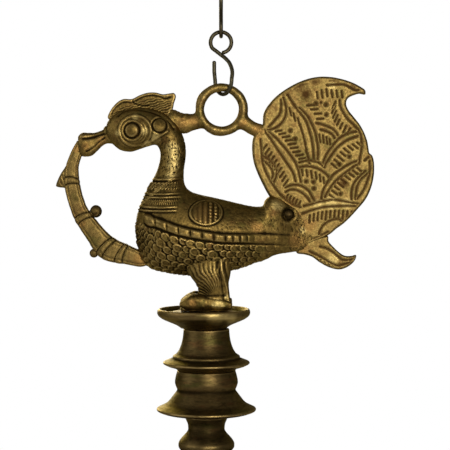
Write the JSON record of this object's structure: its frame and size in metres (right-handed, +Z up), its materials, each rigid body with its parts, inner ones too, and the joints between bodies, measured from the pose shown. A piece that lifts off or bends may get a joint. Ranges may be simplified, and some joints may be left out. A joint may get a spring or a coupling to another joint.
{
  "type": "hanging brass oil lamp",
  "caption": "Hanging oil lamp: a crested bird holding a creeper on a turned column over a lipped oil bowl, hung by a wire hook and links.",
  "frame": {"origin": "where the top hook bears on whatever the lamp hangs from: the inside of the hook's bend, at its top", "axes": "+Z up along the hanging line, +X towards the bird's tail, +Y towards the bird's far side, so the beak points along -X"},
  "size_m": [0.1909, 0.1352, 0.39],
  "materials": {
    "cast_brass": "cast, chased and aged, dark in the hollows",
    "tail_brass": "flat sheet casting, engraved and rubbed bright",
    "turned_brass": "turned, dark aged skin",
    "wire_brass": "drawn wire, dull and tarnished"
  },
  "bodies": {
    "top_hook": {"top_hook": "wire_brass"},
    "upper_link": {"upper_link": "wire_brass"},
    "lower_link": {"lower_link": "wire_brass"},
    "wire_hook": {"wire_hook": "wire_brass"},
    "lamp": {"bird_body": "cast_brass", "neck_and_head": "cast_brass", "beak": "cast_brass", "crest": "cast_brass", "creeper_stem": "cast_brass", "suspension_ring": "cast_brass", "tail_rivet": "cast_brass", "near_leg": "cast_brass", "far_leg": "cast_brass", "plinth": "cast_brass", "tail_fan": "tail_brass", "lower_feather": "tail_brass", "saucer": "turned_brass", "upper_stem": "turned_brass", "bell": "turned_brass", "lower_column": "turned_brass", "oil_bowl": "turned_brass", "foot": "turned_brass", "tie_rod": "turned_brass", "rod_nut": "turned_brass"}
  },
  "joints": [
    {"name": "top_hook_swing", "type": "hinge", "parent": "top_hook", "child": "upper_link", "pos_m": [0, 0, -0.03083], "axis": [0, 1, 0], "range_deg": [-30, 30]},
    {"name": "link_swing", "type": "hinge", "parent": "upper_link", "child": "lower_link", "pos_m": [0, 0, -0.05419], "axis": [1, 0, 0], "range_deg": [-30, 30]},
    {"name": "hook_swing", "type": "hinge", "parent": "lower_link", "child": "wire_hook", "pos_m": [0, 0, -0.07755], "axis": [0, 1, 0], "range_deg": [-30, 30]},
    {"name": "lamp_swing", "type": "hinge", "parent": "wire_hook", "child": "lamp", "pos_m": [0.0014, 0, -0.11198], "axis": [0, 1, 0], "range_deg": [-20, 12]}
  ]
}
